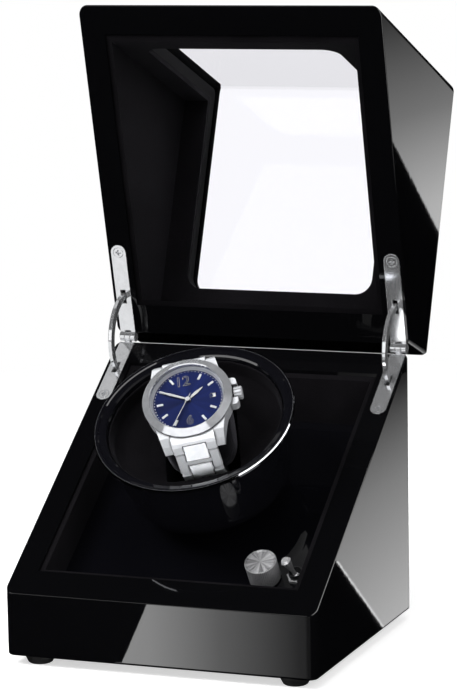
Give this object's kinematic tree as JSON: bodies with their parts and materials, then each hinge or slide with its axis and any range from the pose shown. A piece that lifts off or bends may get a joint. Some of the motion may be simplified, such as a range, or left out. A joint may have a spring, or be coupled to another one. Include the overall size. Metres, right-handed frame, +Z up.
{
  "type": "watch winder box",
  "caption": "Black lacquered watch winder box with a sloping parting plane, lid open on stay hinges, and a tilted motorised cup that holds and turns a wristwatch.",
  "frame": {"origin": "middle of the open box's footprint, on the surface that the feet stand on", "axes": "+Z up, +X to the right of a person facing the box, -Y towards the front, where the box opens"},
  "size_m": [0.15, 0.2142, 0.2942],
  "materials": {
    "lacquer": "black piano lacquer, mirror gloss",
    "bottom_board": "matt black paint",
    "velvet": "charcoal velvet",
    "suede": "black suede cloth",
    "platform_gloss": "black gloss acrylic",
    "cup_gloss": "black gloss plastic with a polished rim",
    "batten_wood": "plain softwood",
    "window_acrylic": "clear acrylic",
    "retainer_plastic": "satin black plastic",
    "feet_rubber": "matt black rubber",
    "hinge_chrome": "polished chrome plate",
    "screw_steel": "zinc plated steel",
    "bracket_alloy": "plain sheet",
    "gearbox_steel": "plain steel",
    "brass": "turned brass",
    "gear_nylon": "natural nylon",
    "control_black": "satin black plastic",
    "circuit_board": "green circuit board",
    "control_chrome": "nickel plated",
    "knob_metal": "spun and polished",
    "watch_steel": "brushed stainless steel",
    "watch_polished": "polished stainless steel",
    "watch_hands": "polished steel with light fill",
    "watch_blue_dial": "blue sunburst lacquer",
    "watch_glass": "clear sapphire"
  },
  "bodies": {
    "base": {"base_front_board": "lacquer", "base_back_board": "lacquer", "base_left_board": "lacquer", "base_right_board": "lacquer", "base_bottom_board": "bottom_board", "bottom_screws": "screw_steel", "base_lining": "velvet", "platform_panel": "platform_gloss", "platform_battens": "batten_wood", "rubber_feet": "feet_rubber", "hinge_base_plates": "hinge_chrome", "hinge_base_screws": "hinge_chrome", "dc_inlet": "control_black", "panel_nuts": "control_chrome", "control_board": "circuit_board", "motor_bracket": "bracket_alloy", "bracket_standoffs": "screw_steel", "bracket_screws": "screw_steel", "motor_can": "screw_steel", "motor_gearbox": "gearbox_steel", "shaft_bushes": "brass", "mode_switch": "control_black", "toggle_switch": "control_black"},
    "lid": {"lid_front_board": "lacquer", "lid_top_board": "lacquer", "lid_back_board": "lacquer", "lid_left_board": "lacquer", "lid_right_board": "lacquer", "lid_lining": "velvet", "window_panel": "window_acrylic", "window_retainer": "retainer_plastic", "hinge_lid_plates": "hinge_chrome", "hinge_lid_screws": "hinge_chrome", "hinge_pins": "hinge_chrome"},
    "left_stay": {"hinge_stay_left": "hinge_chrome"},
    "right_stay": {"hinge_stay_right": "hinge_chrome"},
    "turntable": {"turntable_cup": "cup_gloss", "cup_lining": "velvet", "turntable_shaft": "screw_steel", "driven_gear": "gear_nylon", "thrust_washer": "gear_nylon", "shaft_clip": "screw_steel"},
    "motor_output": {"motor_pinion": "brass"},
    "knob": {"mode_knob": "knob_metal", "knob_shaft": "screw_steel"},
    "toggle": {"toggle_lever": "control_chrome"},
    "watch": {"watch_cushion": "suede", "watch_case": "watch_steel", "watch_bezel": "watch_polished", "watch_crystal": "watch_glass", "watch_dial": "watch_blue_dial", "watch_case_back": "watch_steel", "bracelet_side_links": "watch_steel", "bracelet_centre_links": "watch_polished", "bracelet_clasp": "watch_steel"},
    "hours": {"hour_hand": "watch_hands"},
    "minutes": {"minute_hand": "watch_hands"},
    "seconds": {"second_hand": "watch_hands"},
    "crown": {"watch_crown": "watch_steel"}
  },
  "joints": [
    {"name": "lid_hinge", "type": "hinge", "parent": "base", "child": "lid", "pos_m": [0, 0.03159, 0.13041], "axis": [1, 0, 0], "range_deg": [0, 111.2]},
    {"name": "left_stay_turn", "type": "hinge", "parent": "base", "child": "left_stay", "pos_m": [0, 0.03159, 0.13041], "axis": [1, 0, 0], "range_deg": [0, 22.3]},
    {"name": "right_stay_turn", "type": "hinge", "parent": "base", "child": "right_stay", "pos_m": [0, 0.03159, 0.13041], "axis": [1, 0, 0], "range_deg": [0, 22.3]},
    {"name": "turntable_spin", "type": "hinge", "parent": "base", "child": "turntable", "pos_m": [0, -0.03862, 0.08125], "axis": [0, -0.5678, 0.8232], "continuous": true},
    {"name": "motor_spin", "type": "hinge", "parent": "base", "child": "motor_output", "pos_m": [-0.0216, -0.03862, 0.08125], "axis": [0, -0.5678, 0.8232], "continuous": true},
    {"name": "knob_turn", "type": "hinge", "parent": "base", "child": "knob", "pos_m": [0.037, -0.07735, 0.05454], "axis": [0, -0.5678, 0.8232], "range_deg": [-150, 150]},
    {"name": "toggle_swing", "type": "hinge", "parent": "base", "child": "toggle", "pos_m": [0.0516, -0.06548, 0.04086], "axis": [0, 0.8232, 0.5678], "range_deg": [0, 36]},
    {"name": "watch_lift", "type": "slide", "parent": "turntable", "child": "watch", "axis": [0, -0.5678, 0.8232], "range_m": [0, 0.016]},
    {"name": "minute_turn", "type": "hinge", "parent": "watch", "child": "minutes", "pos_m": [0, -0.06457, 0.11887], "axis": [0.0775, -0.7258, 0.6835], "continuous": true},
    {"name": "hour_turn", "type": "hinge", "parent": "watch", "child": "hours", "pos_m": [0, -0.06457, 0.11887], "axis": [0.0775, -0.7258, 0.6835], "continuous": true},
    {"name": "second_turn", "type": "hinge", "parent": "watch", "child": "seconds", "pos_m": [0, -0.06457, 0.11887], "axis": [0.0775, -0.7258, 0.6835], "continuous": true},
    {"name": "crown_turn", "type": "hinge", "parent": "watch", "child": "crown", "pos_m": [-0.00019, -0.06283, 0.11723], "axis": [0.9379, 0.2856, 0.197], "continuous": true}
  ],
  "couplings": [
    {"joint": "left_stay_turn", "follows": "lid_hinge", "ratio": 0.2},
    {"joint": "right_stay_turn", "follows": "lid_hinge", "ratio": 0.2},
    {"joint": "motor_spin", "follows": "turntable_spin", "ratio": -5},
    {"joint": "hour_turn", "follows": "minute_turn", "ratio": 0.083333}
  ]
}
